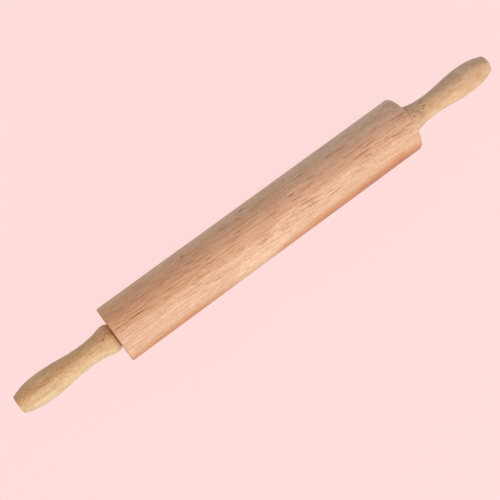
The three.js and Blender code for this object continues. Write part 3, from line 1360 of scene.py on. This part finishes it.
    def dress(self) -> None:
        """Builds the bearing and puts each piece on its body."""
        node = self.side.node
        seat(self.carrier(), node("bearing_carrier"), Slot.CARRIER_NYLON, self.nylon)
        seat(self.inner_race(), node("inner_race"), Slot.BEARING_STEEL, self.steel)
        seat(self.outer_race(), node("outer_race"), Slot.BEARING_STEEL, self.steel)
        seat(self.shield(1), node("outer_shield"), Slot.BEARING_STEEL, self.steel)
        seat(self.shield(-1), node("inner_shield"), Slot.BEARING_STEEL, self.steel)
        seat(self.cage(), node("ball_cage"), Slot.CAGE_NYLON, self.cage_nylon)
        for ball, piece in self.balls().items():
            seat(piece, ball, Slot.BEARING_STEEL, self.steel)


def aim(name: str, device: bpy.types.ID, spot: Vector, back: Vector) -> bpy.types.Object:
    """Stands a lamp or a camera in the scene.

    Args:
        name: Its name.
        device: The lamp or camera.
        spot: Where it stands, in metres.
        back: The direction that it faces away from.

    Returns:
        The standing lamp or camera.
    """
    stand = bpy.data.objects.new(name, device)
    stand.location = spot
    stand.rotation_mode = "QUATERNION"
    stand.rotation_quaternion = back.to_track_quat("Z", "Y")
    bpy.context.scene.collection.objects.link(stand)
    return stand


@dataclass(frozen=True)
class SoftBox:
    """A wide soft lamp that faces the pin."""

    name: str
    towards: Triple  # the direction from the pin to the lamp
    distance: float  # how far off it stands, in metres
    size: Point  # its width and height, in metres
    power: float  # in watts

    def hang(self) -> None:
        """Hangs the lamp."""
        lamp = bpy.data.lights.new(self.name, "AREA")
        lamp.shape = "RECTANGLE"
        lamp.size, lamp.size_y = self.size
        lamp.energy = self.power
        out = Vector(self.towards).normalized()
        aim(self.name, lamp, out * self.distance, out)


@dataclass(frozen=True)
class PhotoCamera:
    """A camera at the photograph's viewing angle."""

    target: Triple  # the point that it looks at, in mm
    azimuth: float  # its direction round Z, in degrees
    elevation: float  # its height above the horizon, in degrees
    distance: float  # its distance from the target, in mm
    focal_pixels: float  # its focal length in pixels of the photograph
    name: str = "photo_camera"
    sight: Point = (0.01, 50.0)  # the nearest and farthest that it sees, in metres

    def stand(self) -> None:
        """Sets the camera up as the scene's own."""
        lens = bpy.data.cameras.new(self.name)
        lens.sensor_width = SENSOR_WIDTH
        lens.lens = self.focal_pixels / PHOTO_PIXELS * SENSOR_WIDTH
        lens.clip_start, lens.clip_end = self.sight
        turn, rise = math.radians(self.azimuth), math.radians(self.elevation)
        x, y = math.sin(turn) * math.cos(rise), -math.cos(turn) * math.cos(rise)
        back = Vector((x, y, math.sin(rise)))
        spot = (Vector(self.target) + back * self.distance) * MM
        bpy.context.scene.camera = aim(self.name, lens, spot, back)


@dataclass
class Studio:
    """The pale floor, the light and the camera."""

    floor: FloorFinish
    ambient: float  # the strength of the light from all round
    lamps: Sequence[SoftBox]
    camera: PhotoCamera
    floor_reach: float = 30.0  # the floor's radius, in metres

    def set_up(self) -> None:
        """Sets up the whole studio."""
        self.lay_floor()
        self.light_world()
        for lamp in self.lamps:
            lamp.hang()
        self.camera.stand()
        bpy.context.scene.view_settings.view_transform = "Standard"

    def lay_floor(self) -> None:
        """Lays the floor under the barrel, out of sight of the light that the pin throws about."""
        shape = bmesh.new()
        bmesh.ops.create_circle(shape, cap_ends=True, radius=self.floor_reach, segments=96)
        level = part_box("barrel")[0].z
        bmesh.ops.translate(shape, vec=(0.0, 0.0, level), verts=shape.verts)
        floor = link_mesh("studio_floor", shape, crease=30.0)
        floor.data.materials.append(self.floor.material())
        floor.visible_diffuse = False
        floor.visible_glossy = False

    def light_world(self) -> None:
        """Gives even light from all round, and the floor's colour behind it."""
        world = bpy.data.worlds.new("studio")
        bpy.context.scene.world = world
        world.use_nodes = True
        graph = Graph(world.node_tree)
        seen = graph.node("ShaderNodeLightPath")["Is Camera Ray"]
        light, backdrop = (
            graph.node("ShaderNodeBackground", inputs={"Color": (*colour, 1.0), "Strength": power})
            for colour, power in (((1.0, 1.0, 1.0), self.ambient), (self.floor.colour, 1.0))
        )
        both = graph.node("ShaderNodeMixShader", inputs={0: seen, 1: light[0], 2: backdrop[0]})[0]
        graph.node("ShaderNodeOutputWorld", inputs={"Surface": both})


# Each row has a mark's place along and around, length, width and depth, and its own tilt if any.
BARREL_SKIN = 25.4
BARREL_MARKS = tuple(Mark(along, around, BARREL_SKIN, *rest) for along, around, *rest in (
    (-145.5, 96.2, 9.0, 0.75, 0.7),
    (-136.0, 96.8, 26.0, 0.7, 0.45, -1.0),
    (-124.3, 97.4, 20.0, 0.75, 0.95, -1.0),
    (-122.1, 92.0, 16.0, 0.7, 0.55),
    (-127.3, 84.8, 20.0, 0.7, 0.6, -5.0),
    (-134.8, 79.5, 16.0, 0.7, 0.6, 0.0),
    (-92.6, 76.4, 22.0, 0.7, 0.55, -1.0),
    (-68.6, 77.5, 11.0, 0.8, 0.75),
    (-24.4, 89.8, 22.0, 0.7, 0.7, 0.0),
    (29.5, 86.8, 8.0, 1.2, 0.8, -4.0),
    (6.5, 94.2, 19.0, 0.75, 0.8),
    (-4.3, 111.6, 24.0, 0.7, 0.7),
    (94.6, 100.7, 20.0, 0.7, 0.7, -4.0),
    (59.7, 130.7, 18.0, 0.7, 0.7, 0.0),
    (144.0, 91.8, 12.0, 0.8, 0.8, -7.0),
    (-70.3, 54.7, 5.0, 1.8, 0.8),
    (-32.3, 59.0, 5.0, 1.5, 0.7),
    (-9.2, 45.1, 7.0, 2.0, 0.6),
    (-16.5, 60.5, 6.0, 1.4, 0.7),
    (46.7, 63.7, 10.0, 1.2, 0.6),
    (74.2, 65.7, 10.0, 1.2, 0.6),
    (-23.6, 83.1, 8.0, 1.1, 0.6),
    (88.5, 103.0, 15.0, 0.7, 0.6),
    (64.6, 124.6, 30.0, 0.7, 0.55, 0.0),
    (36.2, 122.0, 18.0, 0.7, 0.45),
    (36.7, 138.2, 7.0, 1.0, 0.35),
    (100.6, 110.2, 10.0, 1.0, 0.7),
    (-83.0, 154.5, 8.0, 2.4, 0.3),
    (-80.0, 115.0, 40.0, 1.1, -0.4, -1.5),
    (-46.0, 123.0, 40.0, 1.1, -0.4, -7.0),
    # Painted highlight: a broad pale patch where the barrel faces the key lamp.
    (-14.0, 152.0, 70.0, 16.0, -0.2, 0.0),
))

BARREL_WOOD = WoodFinish(
    name="barrel_rubberwood",
    radius=25.5,
    end=150.0,
    tones=(
        (0.04, (0.83, 0.53, 0.37)),
        (0.10, (0.79, 0.49, 0.33)),
        (0.22, (0.755, 0.42, 0.26)),
        (0.37, (0.785, 0.42, 0.25)),
        (0.52, (0.82, 0.435, 0.26)),
        (0.67, (0.835, 0.48, 0.30)),
        (0.85, (0.83, 0.50, 0.32)),
        (0.95, (0.81, 0.48, 0.30)),
    ),
    slope=0.035,
    pore_share=0.62,
    fibre_share=0.95,
    blotch_share=0.05,
    blotch=Swell(6.0, 2.4, rough=0.6),
    shift=0.0,
    marks=BARREL_MARKS,
    bend=(-90.0, 40.0, 5.0),
    shade_greying=(-0.03, 0.06, 0.16),
    # The rim's orange is partly heartwood and partly painted shade near the underside; its second
    # colour is painted shade at the edge.
    rim=Rim((0.70, 0.295, 0.14), (0.555, 0.222, 0.118), (
        (0.0, 0.87), (0.12, 0.84), (0.22, 0.83), (0.3, 0.88), (0.38, 1.04),
        (0.46, 1.03), (0.51, 0.86), (0.61, 0.83), (0.64, 0.80), (0.76, 0.79), (0.785, 0.76),
        (0.90, 0.745), (0.925, 0.705), (1.0, 0.83),
    )),
)

HANDLE_RADIUS, HANDLE_END, HANDLE_PORES = 12.0, 242.4, 0.4
HANDLE_WOOD = {
    Side.LEFT: WoodFinish(
        name="left_handle_rubberwood",
        radius=HANDLE_RADIUS,
        end=HANDLE_END,
        tones=(
            (0.10, (0.78, 0.49, 0.275)),
            (0.25, (0.735, 0.42, 0.213)),
            (0.40, (0.70, 0.385, 0.187)),
            (0.55, (0.82, 0.50, 0.264)),
            (0.70, (0.785, 0.50, 0.26)),
            (0.85, (0.81, 0.56, 0.328)),
        ),
        slope=0.05,
        pore_share=HANDLE_PORES,
        fibre_share=1.0,
        blotch_share=0.25,
        blotch=Swell(6.0, 1.8, rough=0.6),
        shift=730.0,
        marks=(
            Mark(-217.8, 97.2, 11.9, 20.0, 1.2, 0.45),
            Mark(-212.0, 87.5, 12.0, 16.0, 1.4, 0.4),
            Mark(-212.5, 121.3, 12.1, 8.0, 1.2, 0.4),
            Mark(-159.9, 91.3, 12.3, 2.6, 1.6, 0.9),
            Mark(-174.1, 107.7, 10.0, 7.0, 1.6, 0.4),
            Mark(-195.0, 83.0, 10.7, 10.0, 2.4, 0.3),
            Mark(-188.7, 104.0, 10.1, 14.0, 1.2, 0.3),
            Mark(-166.6, 104.3, 10.9, 6.0, 1.4, 0.35),
        ),
    ),
    Side.RIGHT: WoodFinish(
        name="right_handle_rubberwood",
        radius=HANDLE_RADIUS,
        end=HANDLE_END,
        tones=(
            (0.10, (0.705, 0.467, 0.32)),
            (0.25, (0.69, 0.433, 0.272)),
            (0.40, (0.713, 0.433, 0.256)),
            (0.55, (0.746, 0.446, 0.257)),
            (0.70, (0.764, 0.465, 0.262)),
            (0.85, (0.80, 0.50, 0.294)),
        ),
        slope=-0.04,
        pore_share=HANDLE_PORES,
        fibre_share=0.3,
        blotch_share=0.7,
        blotch=Swell(10.0, 4.5, rough=0.6),
        shift=1190.0,
        marks=(
            Mark(171.5, 89.6, 10.1, 3.0, 2.0, 1.2),
            Mark(169.4, 100.2, 10.3, 3.0, 1.8, 1.1),
            Mark(165.3, 108.9, 10.9, 3.2, 1.8, 1.0),
            Mark(164.2, 99.2, 11.2, 2.6, 1.6, 0.7),
            Mark(158.1, 105.4, 12.4, 2.8, 2.0, 1.1),
            Mark(154.6, 109.5, 12.5, 2.2, 1.8, 0.9),
            Mark(170.4, 62.8, 10.4, 2.6, 2.2, 0.7),
            Mark(173.2, 50.4, 10.0, 3.0, 2.6, 0.7),
            Mark(163.3, 92.9, 11.6, 3.2, 1.8, 0.6),
            Mark(160.7, 83.4, 12.2, 3.4, 2.0, 0.5),
            Mark(209.8, 93.4, 12.0, 5.0, 2.6, 0.35),
            Mark(220.4, 70.6, 12.2, 7.0, 3.4, 0.35),
            Mark(196.9, 65.6, 10.8, 5.0, 2.8, 0.35),
        ),
    ),
}

DRAWN_STEEL = MetalFinish(
    "drawn_steel", (0.56, 0.57, 0.58), (0.42, 0.42, 0.42), roughness=0.32, mark=0.6)
GROUND_STEEL = MetalFinish(
    "ground_steel", (0.62, 0.63, 0.64), (0.52, 0.52, 0.53), roughness=0.16, mark=0.2)
TURNED_BRASS = MetalFinish(
    "turned_brass", (0.62, 0.42, 0.14), (0.42, 0.27, 0.10), roughness=0.3, mark=0.35)
# The carrier's flange shows as a thin line between barrel and handle; its dark brown is partly
# painted shade for that gap.
SHADE_BROWN_NYLON = NylonFinish("shade_brown_nylon", (0.36, 0.16, 0.05), (0.42, 0.20, 0.07), grain=0.35)
FILLED_NYLON = NylonFinish("filled_nylon", (0.74, 0.65, 0.47), (0.80, 0.72, 0.57), grain=0.2)
AXLE_THREAD = Thread(starts=151.65)


def main() -> None:
    """Builds the pin piece by piece, then the studio."""
    logging.basicConfig(level=logging.INFO, format="%(name)s: %(message)s")
    Barrel(BARREL_WOOD).dress()
    Axle(DRAWN_STEEL, AXLE_THREAD).dress()
    for side in Side:
        Handle(side, HANDLE_WOOD[side]).dress()
        HandleFixing(side, TURNED_BRASS, DRAWN_STEEL, AXLE_THREAD).dress()
        Bearing(side, GROUND_STEEL, SHADE_BROWN_NYLON, FILLED_NYLON).dress()

    Studio(
        floor=FloorFinish("pale_paper", (0.991, 0.716, 0.708), glow=1.04, shaded=0.10),
        ambient=0.55,
        lamps=(
            SoftBox("key_lamp", (0.0, -0.88, 0.47), distance=1.6, size=(1.2, 0.8), power=14.0),
        ),
        camera=PhotoCamera(
            (-20.43, -9.43, 0.0), azimuth=-37.28, elevation=74.6, distance=848.7,
            focal_pixels=1032.4),
    ).set_up()


if __name__ == "__main__":
    main()
